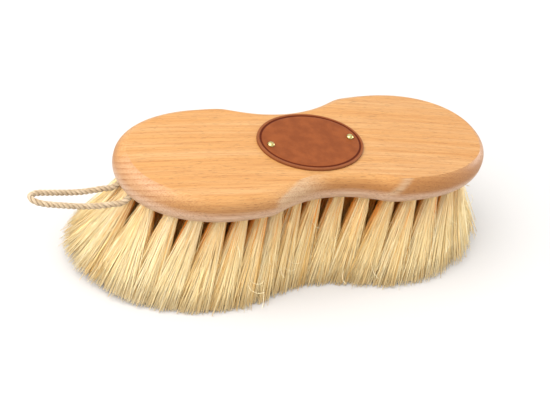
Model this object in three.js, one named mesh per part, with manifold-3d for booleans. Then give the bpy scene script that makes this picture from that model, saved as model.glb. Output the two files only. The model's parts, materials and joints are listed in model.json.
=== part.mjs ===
// A hand brush for flicking loose dirt away: a waisted beech back drilled for tufts of plant fibre,
// an oval leather badge held by two brass pins, and a cord loop to hang it by.
// Millimetres. X runs along the back, with the cord at -X; +Z is up; the tuft tips stand on Z = 0.
import * as THREE from "three";
import { mergeVertices } from "three/addons/utils/BufferGeometryUtils.js";
import Module from "manifold-3d";

const wasm = await Module();
wasm.setup();

// Wooden back: two rounded lobes with a scoop for the fingers in each side
const BACK_LENGTH = 200;
const BACK_THICKNESS = 16;
const LOBE_WIDTH = 72;
const LOBE_CENTRE = 48.5; // from the middle of the back to where a lobe is widest
const LOBE_POWER = 2.13; // 2 would end the lobe in half an ellipse; more is squarer
const LOBE_NARROWING = 4.5; // how far a lobe's curve, drawn on to the middle of the back, comes in
const WAIST_WIDTH = 54.4;
const SCOOP_RADIUS = 64;
const CORNER_EASE = 1.6; // softness of the corner where a scoop meets a lobe
const TOP_ROUND = 4.6;
const BOTTOM_ROUND = 7.8;

// Tufts: rows that follow the outline, each tuft a few strands that lean outwards
const TRIM = 45; // free length of the tufts below the back
const TUFT_PITCH = 11.4; // between the tufts of the lobe with the cord
const FAR_TUFT_PITCH = 12.9; // between the tufts of the other lobe
const OUTER_ROW_INSET = 10.8;
const INNER_ROW_INSET = 21;
const OUTER_TIP_INSET = -4; // the outer row's tips stand outside the back's outline
const INNER_TIP_INSET = 12;
const END_SPLAY = 3.5; // how much further the rows' tips reach at the ends of the back
const CENTRE_ROW_SPACING = 9.6; // between the two short rows in the middle of a lobe
const CENTRE_ROW_ROOM = 12.3; // from the line between those rows to the inner row's tufts
const CENTRE_TIP_SPACING = 13; // between those rows at their tips
const CENTRE_END_SPLAY = 6; // how much further the tips reach at the ends of those rows
const STRAND_ROOT_SPACING = 1.9;
const STRAND_ROOT_RADIUS = 0.85;
const STRAND_TIP_RADIUS = 1.6;
const TIP_ROW_DEPTH = 5.4; // between a tuft's two lines of strands, at the tips
const BEND_HEIGHT = 0.55; // share of the trim below the bend of a strand
const BEND_LEAN = 0.38; // share of a strand's lean that it has at the bend

// Drilled slice of the underside that the strands are rooted in
const SLICE_THICKNESS = 4;
const SLICE_MARGIN = 2.6; // from the outer row's tufts to the edge of their slice
const CENTRE_SLICE_MARGIN = 4; // from the centre rows' tufts to the edge of their slice
const STRAND_SINK = 2; // how deep a strand runs into its slice

// Badge and its pins
const BADGE_LENGTH = 55.8;
const BADGE_WIDTH = 42.2;
const BADGE_THICKNESS = 1.4;
const BADGE_EDGE_ROUND = 0.4;
const TOOLED_LINE_INSET = 1.2;
const TOOLED_LINE_WIDTH = 1;
const TOOLED_LINE_DEPTH = 0.35;
const PIN_SPACING = 44.2;
const PIN_HEAD_DIAMETER = 3.7;
const PIN_HEAD_HEIGHT = 1.1;
const PIN_SHANK_DIAMETER = 1.2;
const PIN_SHANK_LENGTH = 11;

// Hanging cord: both ends go up into bores in the rounded lower edge of the -X end
const CORD_DIAMETER = 2.8;
const CORD_SPREAD = 11.2; // between the two ends
const CORD_BORE_INSET = 6.4; // from the end of the back to the bores
const CORD_BORE_DEPTH = 11.5; // above the underside
const CORD_BEND_RADIUS = 6;
const CORD_DROP = 4.7; // from the underside down to where the cord lies level
const LOOP_PIVOT_REACH = 3; // past the end of the back, where the free loop starts to swing

// Free loop, one leg and half the tip: distance past the pivot, distance from the midline, rise
const LOOP_ROUTE = [
  [0, 5.6, 0],
  [4, 5.5, -0.2],
  [9, 5.2, -0.2],
  [15, 4.9, 0.3],
  [21, 4.6, 1.2],
  [26.5, 4.3, 2.1],
  [31, 4, 2.9],
  [34.2, 3.4, 3.5],
  [36.4, 2.3, 3.9],
  [37.4, 1.1, 4.1],
  [37.7, 0, 4.1],
];

// Fits and facets
const CLEARANCE = 0.3;
const OVERCUT = 1; // how far a cutter runs past the face that it opens
const WELD_DISTANCE = 1e-4;
const BACK_STEPS = { waist: 14, end: 13 };
const SLICE_STEPS = { waist: 7, end: 7 };
const ROW_STEPS = { waist: 100, end: 100 };
const ROOM_STEP = 0.1; // how finely the start of the centre rows is looked for
const ROUND_STEPS = 5;
const BADGE_FACETS = 56;
const PIN_FACETS = 16;
const BORE_FACETS = 16;
const CORD_FACETS = 8;
const STRAND_FACETS = 3;
const LOOP_STEPS = 24;
const CORD_END_STEPS = 8;

// A tuft's strands, in spacings: a line of three outside and a line of two inside
const TUFT_COLUMNS = 3;
const TUFT_LINES = [
  { row: 0.5, columns: [-1, 0, 1] },
  { row: -0.5, columns: [-0.5, 0.5] },
];

// Heights and places that follow from the sizes above
const UNDERSIDE = TRIM;
const TOP = UNDERSIDE + BACK_THICKNESS;
const BADGE_TOP = TOP + BADGE_THICKNESS;
const SLICE_TOP = UNDERSIDE + SLICE_THICKNESS;
const END_X = BACK_LENGTH / 2;
const SLICE_INSET = OUTER_ROW_INSET - SLICE_MARGIN;
const ROW_SPLIT_INSET = (OUTER_ROW_INSET + INNER_ROW_INSET) / 2;
const CORD_X = -END_X + CORD_BORE_INSET;
const CORD_LEVEL = UNDERSIDE - CORD_DROP;
const PIVOT_X = -END_X - LOOP_PIVOT_REACH;

// Solids and geometry

function solidOf(geometry) {
  const bare = geometry.clone();
  for (const name of Object.keys(bare.attributes)) {
    if (name !== "position") bare.deleteAttribute(name);
  }
  const merged = mergeVertices(bare, WELD_DISTANCE);
  return new wasm.Manifold(
    new wasm.Mesh({
      numProp: 3,
      vertProperties: new Float32Array(merged.attributes.position.array),
      triVerts: new Uint32Array(merged.index.array),
    }),
  );
}

function geometryOf(solid) {
  const mesh = solid.getMesh();
  const points = [];
  for (let i = 0; i < mesh.numVert; i++) {
    points.push(...mesh.vertProperties.slice(i * mesh.numProp, i * mesh.numProp + 3));
  }
  const geometry = new THREE.BufferGeometry();
  geometry.setAttribute("position", new THREE.Float32BufferAttribute(points, 3));
  geometry.setIndex(Array.from(mesh.triVerts));
  return geometry;
}

// A closed solid through a stack of rings, from the lowest up.
// All rings run counterclockwise and have as many points.
function loft(rings) {
  const count = rings[0].length;
  const points = rings.flat().flatMap((point) => [point.x, point.y, point.z]);
  const index = [];
  for (let level = 0; level + 1 < rings.length; level++) {
    for (let i = 0; i < count; i++) {
      const low = level * count + i;
      const lowNext = level * count + ((i + 1) % count);
      index.push(low, lowNext, lowNext + count, low, lowNext + count, low + count);
    }
  }
  const top = (rings.length - 1) * count;
  for (const [a, b, c] of THREE.ShapeUtils.triangulateShape(rings[0], [])) index.push(a, c, b);
  for (const [a, b, c] of THREE.ShapeUtils.triangulateShape(rings.at(-1), [])) {
    index.push(top + a, top + b, top + c);
  }
  const geometry = new THREE.BufferGeometry();
  geometry.setAttribute("position", new THREE.Float32BufferAttribute(points, 3));
  geometry.setIndex(index);
  return geometry;
}

function cylinder(radius, low, high, x, y) {
  const geometry = new THREE.CylinderGeometry(radius, radius, high - low, BORE_FACETS);
  geometry.rotateX(Math.PI / 2);
  geometry.translate(x, y, (low + high) / 2);
  return solidOf(geometry);
}

// The back's outline

// Half the back's width at a distance from its middle, drawn in by inset all round.
function halfWidth(distance, inset) {
  const run = END_X - inset - LOBE_CENTRE;
  const past = Math.max(distance - LOBE_CENTRE, 0) / run;
  const before = Math.max(LOBE_CENTRE - distance, 0) / LOBE_CENTRE;
  const widest = LOBE_WIDTH / 2 - inset;
  const rounded = Math.max(1 - past ** LOBE_POWER, 0) ** (1 / LOBE_POWER);
  const lobe = widest * rounded - LOBE_NARROWING * before ** 2;
  const radius = SCOOP_RADIUS + inset;
  if (distance >= radius) return lobe;
  const scoop = WAIST_WIDTH / 2 - inset + radius - Math.sqrt(radius ** 2 - distance ** 2);
  return (lobe + scoop - Math.hypot(lobe - scoop, CORNER_EASE)) / 2;
}

// One quarter of the outline, from the middle of a scoop to the tip of a lobe.
function quarterOutline(inset, steps) {
  const run = END_X - inset - LOBE_CENTRE;
  const points = [];
  for (let i = 0; i < steps.waist; i++) {
    const x = (LOBE_CENTRE * i) / steps.waist;
    points.push(new THREE.Vector2(x, halfWidth(x, inset)));
  }
  for (let i = 0; i < steps.end; i++) {
    const x = LOBE_CENTRE + run * Math.sin((Math.PI / 2) * (i / steps.end)) ** (2 / LOBE_POWER);
    points.push(new THREE.Vector2(x, halfWidth(x, inset)));
  }
  points.push(new THREE.Vector2(END_X - inset, 0));
  return points;
}

// The whole outline at one height, counterclockwise from the +X tip.
function backRing(inset, z, steps) {
  const quarter = quarterOutline(inset, steps);
  const last = quarter.length - 1;
  const ring = [];
  for (let i = last; i > 0; i--) ring.push(new THREE.Vector3(quarter[i].x, quarter[i].y, z));
  for (let i = 0; i < last; i++) ring.push(new THREE.Vector3(-quarter[i].x, quarter[i].y, z));
  for (let i = last; i > 0; i--) ring.push(new THREE.Vector3(-quarter[i].x, -quarter[i].y, z));
  for (let i = 0; i < last; i++) ring.push(new THREE.Vector3(quarter[i].x, -quarter[i].y, z));
  return ring;
}

// The prism inside the outline drawn in by inset, between two heights.
function backPrism(inset, low, high) {
  return solidOf(loft([backRing(inset, low, SLICE_STEPS), backRing(inset, high, SLICE_STEPS)]));
}

// Tufts

const pitchOf = (side) => (side < 0 ? TUFT_PITCH : FAR_TUFT_PITCH);

// One quarter of a row, from the middle of a scoop to the tip of a lobe. The roots are evenly spaced.
// The tips lie straight out beside the scoop, and square to the outline round the end of the lobe.
function quarterRow(rootInset, tipInset, pitch) {
  const outline = new THREE.Path(quarterOutline(rootInset, ROW_STEPS));
  const count = Math.max(Math.round(outline.getLength() / pitch), 1);
  const tufts = Array.from({ length: count + 1 }, (_, i) => {
    const root = outline.getPoint(i / count);
    const run = outline.getTangent(i / count);
    const outward = new THREE.Vector2(-run.y, run.x);
    if (root.x < LOBE_CENTRE) outward.set(0, 1);
    if (i === count) outward.set(1, 0);
    const lean = rootInset - tipInset + END_SPLAY * outward.x;
    return { root, outward, tip: root.clone().addScaledVector(outward, lean) };
  });
  const gap = (i) => tufts[i].tip.distanceTo(tufts[i + 1].tip);
  tufts.forEach((tuft, i) => {
    const pitchAtTip = (gap(Math.max(i - 1, 0)) + gap(Math.min(i, count - 1))) / 2;
    tuft.tipSpacing = pitchAtTip / TUFT_COLUMNS;
  });
  return tufts;
}

// A level triangle round a point, one corner towards the outside.
function strandRing(centre, outward, radius, z) {
  const start = Math.atan2(outward.y, outward.x);
  return Array.from({ length: STRAND_FACETS }, (_, i) => {
    const angle = start + (2 * Math.PI * i) / STRAND_FACETS;
    return new THREE.Vector3(centre.x + radius * Math.cos(angle), centre.y + radius * Math.sin(angle), z);
  });
}

// A tuft's strands, close together at the root and spread at the tip.
function tuftStrands({ root, tip, outward, tipSpacing }) {
  const across = new THREE.Vector2(-outward.y, outward.x);
  const place = (point, out, aside) => {
    return point.clone().addScaledVector(outward, out).addScaledVector(across, aside);
  };
  const strands = [];
  for (const { row, columns } of TUFT_LINES) {
    for (const column of columns) {
      const low = place(root, row * STRAND_ROOT_SPACING, column * STRAND_ROOT_SPACING);
      const end = place(tip, row * TIP_ROW_DEPTH, column * tipSpacing);
      const bend = low.clone().lerp(end, BEND_LEAN);
      const bendRadius = THREE.MathUtils.lerp(STRAND_ROOT_RADIUS, STRAND_TIP_RADIUS, BEND_LEAN);
      const rings = [
        strandRing(end, outward, STRAND_TIP_RADIUS, 0),
        strandRing(bend, outward, bendRadius, TRIM * BEND_HEIGHT),
        strandRing(low, outward, STRAND_ROOT_RADIUS, UNDERSIDE),
        strandRing(low, outward, STRAND_ROOT_RADIUS, UNDERSIDE + STRAND_SINK),
      ];
      strands.push(loft(rings));
    }
  }
  return strands;
}

// A row of tufts that follows the outline. The tufts in the scoops and at the tips lie on a mirror line.
function outlineRow(rootInset, tipInset) {
  const strands = [];
  for (const side of [-1, 1]) {
    const quarter = quarterRow(rootInset, tipInset, pitchOf(side));
    for (const half of [-1, 1]) {
      const fold = new THREE.Vector2(side, half);
      const first = side < 0 ? 0 : 1;
      const last = half < 0 ? quarter.length : quarter.length - 1;
      for (const tuft of quarter.slice(first, last)) {
        const root = tuft.root.clone().multiply(fold);
        const tip = tuft.tip.clone().multiply(fold);
        const outward = tuft.outward.clone().multiply(fold);
        strands.push(...tuftStrands({ root, tip, outward, tipSpacing: tuft.tipSpacing }));
      }
    }
  }
  return strands;
}

// Where the centre rows of a lobe start and stop, clear of the inner row that goes round them.
function centreSpan() {
  let from = CENTRE_ROW_ROOM;
  while (from < LOBE_CENTRE && halfWidth(from, INNER_ROW_INSET) < CENTRE_ROW_ROOM) from += ROOM_STEP;
  return { from, to: END_X - INNER_ROW_INSET - CENTRE_ROW_ROOM };
}

// The two short rows in the middle of a lobe; side is -1 for the lobe with the cord, 1 for the other.
function centreRows(side) {
  const { from, to } = centreSpan();
  const middle = (from + to) / 2;
  const gaps = Math.max(Math.round((to - from) / pitchOf(side)), 1);
  const splay = 1 + CENTRE_END_SPLAY / ((to - from) / 2);
  const tipSpacing = ((to - from) / gaps / TUFT_COLUMNS) * splay;
  const strands = [];
  for (const half of [-1, 1]) {
    const outward = new THREE.Vector2(0, half);
    const across = (half * CENTRE_ROW_SPACING) / 2;
    const tipAcross = (half * CENTRE_TIP_SPACING) / 2;
    for (let i = 0; i <= gaps; i++) {
      const along = (to - from) * (i / gaps - 0.5);
      const root = new THREE.Vector2(side * (middle + along), across);
      const tip = new THREE.Vector2(side * (middle + along * splay), tipAcross);
      strands.push(...tuftStrands({ root, tip, outward, tipSpacing }));
    }
  }
  return strands;
}

// All strands of a row as one set of closed shapes.
function strandSet(strands) {
  const points = [];
  const index = [];
  for (const strand of strands) {
    const first = points.length / 3;
    points.push(...strand.attributes.position.array);
    index.push(...Array.from(strand.index.array, (i) => i + first));
  }
  const geometry = new THREE.BufferGeometry();
  geometry.setAttribute("position", new THREE.Float32BufferAttribute(points, 3));
  geometry.setIndex(index);
  return solidOf(geometry);
}

// A slot with round ends round the centre rows of one lobe, grown by a margin.
function centreSlot(side, margin, low, high) {
  const { from, to } = centreSpan();
  const radius = CENTRE_ROW_SPACING / 2 + margin;
  const corners = side > 0 ? [to, from] : [-from, -to];
  const ring = (z) =>
    corners.flatMap((x, end) =>
      Array.from({ length: BORE_FACETS + 1 }, (_, i) => {
        const angle = Math.PI * (i / BORE_FACETS - 0.5 + end);
        return new THREE.Vector3(x + radius * Math.cos(angle), radius * Math.sin(angle), z);
      }),
    );
  return solidOf(loft([ring(low), ring(high)]));
}

function outerRow() {
  const slice = backPrism(SLICE_INSET + CLEARANCE, UNDERSIDE, SLICE_TOP);
  const ring = slice.subtract(backPrism(ROW_SPLIT_INSET, UNDERSIDE - OVERCUT, SLICE_TOP + OVERCUT));
  return ring.add(strandSet(outlineRow(OUTER_ROW_INSET, OUTER_TIP_INSET)));
}

function innerRow() {
  let slice = backPrism(ROW_SPLIT_INSET + CLEARANCE, UNDERSIDE, SLICE_TOP);
  for (const side of [-1, 1]) {
    const margin = CENTRE_SLICE_MARGIN + CLEARANCE;
    slice = slice.subtract(centreSlot(side, margin, UNDERSIDE - OVERCUT, SLICE_TOP + OVERCUT));
  }
  return slice.add(strandSet(outlineRow(INNER_ROW_INSET, INNER_TIP_INSET)));
}

function centreTufts(side) {
  const slice = centreSlot(side, CENTRE_SLICE_MARGIN, UNDERSIDE, SLICE_TOP);
  return slice.add(strandSet(centreRows(side)));
}

// Cord

function tubeAlong(points, steps, curveType) {
  const section = new THREE.Shape();
  for (let i = 0; i < CORD_FACETS; i++) {
    const angle = (2 * Math.PI * i) / CORD_FACETS;
    const x = (CORD_DIAMETER / 2) * Math.cos(angle);
    const y = (CORD_DIAMETER / 2) * Math.sin(angle);
    if (i === 0) section.moveTo(x, y);
    else section.lineTo(x, y);
  }
  const path = new THREE.CatmullRomCurve3(points, false, curveType);
  return solidOf(new THREE.ExtrudeGeometry(section, { steps, bevelEnabled: false, extrudePath: path }));
}

// One end of the cord: up in its bore, then bent round under the edge to lie level.
function cordEnd(side) {
  const y = (side * CORD_SPREAD) / 2;
  const bendTop = CORD_LEVEL + CORD_BEND_RADIUS;
  const points = [new THREE.Vector3(CORD_X, y, UNDERSIDE + CORD_BORE_DEPTH - CLEARANCE)];
  points.push(new THREE.Vector3(CORD_X, y, bendTop + CORD_DIAMETER));
  for (let i = 0; i <= ROUND_STEPS; i++) {
    const angle = (Math.PI / 2) * (i / ROUND_STEPS);
    const x = CORD_X - CORD_BEND_RADIUS * (1 - Math.cos(angle));
    points.push(new THREE.Vector3(x, y, bendTop - CORD_BEND_RADIUS * Math.sin(angle)));
  }
  points.push(new THREE.Vector3(PIVOT_X + CORD_DIAMETER / 2 + CLEARANCE, y, CORD_LEVEL));
  return tubeAlong(points, CORD_END_STEPS, "centripetal");
}

// The free loop, with a ball at each foot to turn on.
function hangingLoop() {
  const leg = (side) =>
    LOOP_ROUTE.map(([reach, spread, rise]) => {
      return new THREE.Vector3(PIVOT_X - reach, side * spread, CORD_LEVEL + rise);
    });
  const front = leg(-1);
  const back = leg(1).reverse().slice(1);
  let loop = tubeAlong([...front, ...back], LOOP_STEPS, "centripetal");
  for (const foot of [front[0], back.at(-1)]) {
    const ball = new THREE.SphereGeometry(CORD_DIAMETER / 2, CORD_FACETS, CORD_FACETS);
    ball.translate(foot.x, foot.y, foot.z);
    loop = loop.add(solidOf(ball));
  }
  return loop;
}

// Back, badge and pins

function roundover(radius, edgeZ, outwardZ) {
  const rings = [];
  for (let i = 0; i <= ROUND_STEPS; i++) {
    const angle = (Math.PI / 2) * (i / ROUND_STEPS);
    const inset = radius * (1 - Math.cos(angle));
    rings.push(backRing(inset, edgeZ + outwardZ * radius * Math.sin(angle), BACK_STEPS));
  }
  return rings;
}

function woodenBack() {
  const lower = roundover(BOTTOM_ROUND, UNDERSIDE + BOTTOM_ROUND, -1).reverse();
  const upper = roundover(TOP_ROUND, TOP - TOP_ROUND, 1);
  let back = solidOf(loft([...lower, ...upper]));
  back = back.subtract(backPrism(SLICE_INSET, UNDERSIDE - OVERCUT, SLICE_TOP));
  const cordBore = CORD_DIAMETER / 2 + CLEARANCE;
  const pinBore = PIN_SHANK_DIAMETER / 2 + CLEARANCE;
  const pinDepth = PIN_SHANK_LENGTH - BADGE_THICKNESS + CLEARANCE;
  for (const side of [-1, 1]) {
    const boreTop = UNDERSIDE + CORD_BORE_DEPTH;
    back = back.subtract(cylinder(cordBore, UNDERSIDE - OVERCUT, boreTop, CORD_X, (side * CORD_SPREAD) / 2));
    back = back.subtract(cylinder(pinBore, TOP - pinDepth, TOP + OVERCUT, (side * PIN_SPACING) / 2, 0));
  }
  return back;
}

function leatherBadge() {
  const ring = (inset, height) =>
    Array.from({ length: BADGE_FACETS }, (_, i) => {
      const angle = (2 * Math.PI * i) / BADGE_FACETS;
      const x = (BADGE_LENGTH / 2 - inset) * Math.cos(angle);
      const y = (BADGE_WIDTH / 2 - inset) * Math.sin(angle);
      return new THREE.Vector3(x, y, TOP + height);
    });
  const groove = BADGE_THICKNESS - TOOLED_LINE_DEPTH;
  const wall = TOOLED_LINE_WIDTH / 4;
  let badge = solidOf(
    loft([
      ring(0, 0),
      ring(0, BADGE_THICKNESS - BADGE_EDGE_ROUND),
      ring(BADGE_EDGE_ROUND, BADGE_THICKNESS),
      ring(TOOLED_LINE_INSET, BADGE_THICKNESS),
      ring(TOOLED_LINE_INSET + wall, groove),
      ring(TOOLED_LINE_INSET + TOOLED_LINE_WIDTH - wall, groove),
      ring(TOOLED_LINE_INSET + TOOLED_LINE_WIDTH, BADGE_THICKNESS),
    ]),
  );
  const bore = PIN_SHANK_DIAMETER / 2 + CLEARANCE;
  for (const side of [-1, 1]) {
    badge = badge.subtract(cylinder(bore, TOP - OVERCUT, BADGE_TOP + OVERCUT, (side * PIN_SPACING) / 2, 0));
  }
  return badge;
}

// A pin with a low domed head and a pointed shank, drawn from its point up to the top of its head.
function badgePin() {
  const head = PIN_HEAD_DIAMETER / 2;
  const shank = PIN_SHANK_DIAMETER / 2;
  const profile = [
    new THREE.Vector2(0, -PIN_SHANK_LENGTH),
    new THREE.Vector2(shank, -PIN_SHANK_LENGTH + PIN_SHANK_DIAMETER),
    new THREE.Vector2(shank, 0),
  ];
  for (let i = 0; i < ROUND_STEPS; i++) {
    const angle = (Math.PI / 2) * (i / ROUND_STEPS);
    profile.push(new THREE.Vector2(head * Math.cos(angle), PIN_HEAD_HEIGHT * Math.sin(angle)));
  }
  profile.push(new THREE.Vector2(0, PIN_HEAD_HEIGHT));
  const geometry = new THREE.LatheGeometry(profile, PIN_FACETS);
  geometry.rotateX(Math.PI / 2);
  return solidOf(geometry);
}

// Assembly

const finish = (color, roughness, metalness = 0) =>
  new THREE.MeshStandardMaterial({ color, roughness, metalness });

function piece(name, solid, material, position = [0, 0, 0]) {
  const mesh = new THREE.Mesh(geometryOf(solid), material);
  mesh.name = name;
  mesh.position.set(...position);
  return mesh;
}

const fibre = () => finish(0xe6c893, 0.85);
const cordFibre = () => finish(0xd2b78f, 0.9);
const brass = () => finish(0xc9a85c, 0.3, 1);

const brush = new THREE.Group();
brush.add(
  piece("wooden_back", woodenBack(), finish(0xf3b878, 0.45)),
  piece("outer_tuft_row", outerRow(), fibre()),
  piece("inner_tuft_row", innerRow(), fibre()),
  piece("centre_tufts_left", centreTufts(-1), fibre()),
  piece("centre_tufts_right", centreTufts(1), fibre()),
  piece("leather_badge", leatherBadge(), finish(0xa85c34, 0.6)),
  piece("badge_pin_left", badgePin(), brass(), [-PIN_SPACING / 2, 0, BADGE_TOP]),
  piece("badge_pin_right", badgePin(), brass(), [PIN_SPACING / 2, 0, BADGE_TOP]),
  piece("cord_end_front", cordEnd(-1), cordFibre()),
  piece("cord_end_back", cordEnd(1), cordFibre()),
  piece("hanging_loop", hangingLoop(), cordFibre()),
);

export default brush;
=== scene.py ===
# %% [markdown]
# # A flick brush on a pale floor
# This brush flicks loose dirt out of a coat. It has a waisted beech back, tufts of straw-coloured
# plant fibre that lean outwards, an oval leather badge under two brass pins, and a cord to hang it by.
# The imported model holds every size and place. This lesson makes the looks round it, piece by piece,
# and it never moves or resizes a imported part.

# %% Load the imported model
import json
import math

import bpy
import numpy as np
from mathutils import Matrix, Vector
from mathutils.geometry import interpolate_bezier


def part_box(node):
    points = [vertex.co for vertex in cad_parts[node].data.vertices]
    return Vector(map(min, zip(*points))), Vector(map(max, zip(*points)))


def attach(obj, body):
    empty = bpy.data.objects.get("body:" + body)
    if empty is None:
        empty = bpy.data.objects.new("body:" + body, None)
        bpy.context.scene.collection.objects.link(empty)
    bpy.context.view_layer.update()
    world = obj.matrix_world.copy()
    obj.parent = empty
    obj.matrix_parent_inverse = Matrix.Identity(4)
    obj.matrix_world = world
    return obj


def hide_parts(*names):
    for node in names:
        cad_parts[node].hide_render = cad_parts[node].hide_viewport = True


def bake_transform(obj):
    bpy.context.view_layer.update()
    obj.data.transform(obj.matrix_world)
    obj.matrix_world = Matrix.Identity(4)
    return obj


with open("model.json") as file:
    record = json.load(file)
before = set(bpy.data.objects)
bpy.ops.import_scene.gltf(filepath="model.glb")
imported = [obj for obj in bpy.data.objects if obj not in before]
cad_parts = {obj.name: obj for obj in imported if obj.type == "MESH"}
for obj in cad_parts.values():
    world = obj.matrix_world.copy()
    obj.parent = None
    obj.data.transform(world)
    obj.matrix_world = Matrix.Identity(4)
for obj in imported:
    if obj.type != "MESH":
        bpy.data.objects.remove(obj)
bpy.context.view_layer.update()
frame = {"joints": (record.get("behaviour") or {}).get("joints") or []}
MM = 0.001

# %% [markdown]
# ## The camera
# The photograph looks down on the brush from the front, a little from the cord's end, and it is rolled
# by some degrees. A long lens keeps the two lobes almost the same size. The values come from fitting the
# back's outline to the photograph: one point inside the back, the pixel where it shows, and the direction
# to look from. The camera is then aimed through the middle of the picture, so that it needs no lens shift.

# %% Camera
PHOTO_SIZE = (550, 413)  # pixels
AIM_POINT = Vector((0, 0, 46)) * MM
AIM_PIXEL = (302, 167)
FOCAL_PIXELS = 1740
VIEW_DISTANCE = 846 * MM
VIEW_TURN = math.radians(38.27)
VIEW_HEIGHT = math.radians(35.67)
VIEW_ROLL = math.radians(-18.75)
SENSOR_WIDTH = 36


def make_camera():
    away = Vector(
        (
            -math.sin(VIEW_TURN) * math.cos(VIEW_HEIGHT),
            -math.cos(VIEW_TURN) * math.cos(VIEW_HEIGHT),
            math.sin(VIEW_HEIGHT),
        )
    )
    level = Vector((math.cos(VIEW_TURN), -math.sin(VIEW_TURN), 0))
    rise = away.cross(level)
    right = level * math.cos(VIEW_ROLL) - rise * math.sin(VIEW_ROLL)
    up = level * math.sin(VIEW_ROLL) + rise * math.cos(VIEW_ROLL)
    aside = (PHOTO_SIZE[0] / 2 - AIM_PIXEL[0]) / FOCAL_PIXELS
    above = (AIM_PIXEL[1] - PHOTO_SIZE[1] / 2) / FOCAL_PIXELS
    back = (away - right * aside - up * above).normalized()
    right = up.cross(back).normalized()
    turn = Matrix((right, back.cross(right), back)).transposed()
    lens = bpy.data.cameras.new("photo_camera")
    lens.sensor_width = SENSOR_WIDTH
    lens.lens = FOCAL_PIXELS / PHOTO_SIZE[0] * SENSOR_WIDTH
    camera = bpy.data.objects.new("photo_camera", lens)
    camera.matrix_world = Matrix.Translation(AIM_POINT + away * VIEW_DISTANCE) @ turn.to_4x4()
    bpy.context.scene.collection.objects.link(camera)
    bpy.context.scene.camera = camera
    return camera


camera = make_camera()
print("camera at, mm:", [round(c / MM) for c in camera.location], "lens:", round(camera.data.lens, 1))

# %% [markdown]
# ## Shader sums in Python
# A finish such as wood is a sum of simple patterns. Wiring Math nodes by hand hides that sum, so one
# small class wraps a socket: adding or multiplying two wrapped sockets adds the Math node for it.
# Every other node comes from its method `node`, which sets the node's settings first and then the
# values or links of its sockets.


# %% The wrapped socket
class Signal:
    """A shader socket that can stand in a Python sum."""

    def __init__(self, tree, socket=None):
        self.tree = tree
        self.socket = socket

    def node(self, kind, settings=None, sockets=None, output=0):
        made = self.tree.nodes.new("ShaderNode" + kind)
        for name, value in (settings or {}).items():
            if name == "stops":
                set_stops(made.color_ramp, value)
            else:
                setattr(made, name, value)
        for name, value in (sockets or {}).items():
            if isinstance(value, Signal):
                self.tree.links.new(value.socket, made.inputs[name])
            else:
                made.inputs[name].default_value = value
        return Signal(self.tree, made.outputs[output] if made.outputs else None)

    def maths(self, operation, first, second):
        return self.node("Math", {"operation": operation}, {0: first, 1: second})

    def __add__(self, other):
        return self.maths("ADD", self, other)

    __radd__ = __add__

    def __sub__(self, other):
        return self.maths("SUBTRACT", self, other)

    def __rsub__(self, other):
        return self.maths("SUBTRACT", other, self)

    def __mul__(self, other):
        return self.maths("MULTIPLY", self, other)

    __rmul__ = __mul__

    def __truediv__(self, other):
        return self.maths("DIVIDE", self, other)

    def __rtruediv__(self, other):
        return self.maths("DIVIDE", other, self)

    def __pow__(self, other):
        return self.maths("POWER", self, other)


def set_stops(ramp, stops):
    while len(ramp.elements) < len(stops):
        ramp.elements.new(1)
    for element, (position, colour) in zip(ramp.elements, stops):
        element.position = position
        element.color = colour


print("shader sums ready")

# %% [markdown]
# ## Words that every finish uses
# First those for colours: a ramp that is 0 below one value and 1 above another, a mix of two colours, and
# a close that hands the sums to Blender's Principled shader. Colours are given as the screen shows them,
# from 0 to 255, and turned into light here. Then those for patterns: the parts of a place, a value stored
# on the mesh, noise stretched along the piece, and a bump.


# %% Words for colours
def shade(red, green, blue):
    def light(value):
        value /= 255
        return value / 12.92 if value <= 0.04045 else ((value + 0.055) / 1.055) ** 2.4

    return (light(red), light(green), light(blue), 1)


def start_finish(name):
    finish = bpy.data.materials.new(name)
    finish.use_nodes = True
    finish.node_tree.nodes.clear()
    return finish, Signal(finish.node_tree)


def close_finish(start, sockets):
    shader = start.node("BsdfPrincipled", None, sockets)
    start.node("OutputMaterial", None, {"Surface": shader})


def rising(signal, low, high):
    settings = {"interpolation_type": "SMOOTHSTEP"}
    return signal.node("MapRange", settings, {"Value": signal, "From Min": low, "From Max": high})


def mixed(share, first, second):
    """A mix of two colours; a Mix node's sockets 6 and 7, and its output 2, are those for colours."""
    return share.node("Mix", {"data_type": "RGBA"}, {0: share, 6: first, 7: second}, 2)


def times(share, colour):
    """A colour darkened by a share that may change over the surface."""
    return share.node("VectorMath", {"operation": "SCALE"}, {0: colour, "Scale": share})


print("mid grey as light:", round(shade(128, 128, 128)[0], 3))


# %% Words for patterns
def parts(vector):
    return [vector.node("SeparateXYZ", None, {0: vector}, axis) for axis in range(3)]


def stored(start, name):
    """A value that was stored on the points of the mesh."""
    return start.node("Attribute", {"attribute_name": name}, None, "Fac")


def stretched(place, *grain):
    """A place with each axis divided by the size of the pattern's grain along it, in mm."""
    scale = [1 / (size * MM) for size in grain]
    return place.node("VectorMath", {"operation": "MULTIPLY"}, {0: place, 1: scale})


def noise(place, detail=2, roughness=0.5):
    sockets = {"Vector": place, "Scale": 1, "Detail": detail, "Roughness": roughness}
    return place.node("TexNoise", None, sockets)


def bumped(height, depth, strength):
    return height.node("Bump", None, {"Height": height, "Distance": depth * MM, "Strength": strength})


print("words for colours and patterns ready")

# %% [markdown]
# ## Mesh helpers
# Cord strands and brush fibres are the same thing at two sizes: thin tubes along a path. One function
# makes any number of them at once from an array of paths, because thousands of separate objects would
# be slow. The back, the badge and the pins are rings of points, one above the other, with walls between
# them. Points stay in millimetres until a piece is made.


# %% Tubes and rings
def unit(vectors):
    return vectors / np.linalg.norm(vectors, axis=-1, keepdims=True)


def circle(sides):
    turn = 2 * np.pi * np.arange(sides) / sides
    return np.stack([np.cos(turn), np.sin(turn)], 1)


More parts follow.
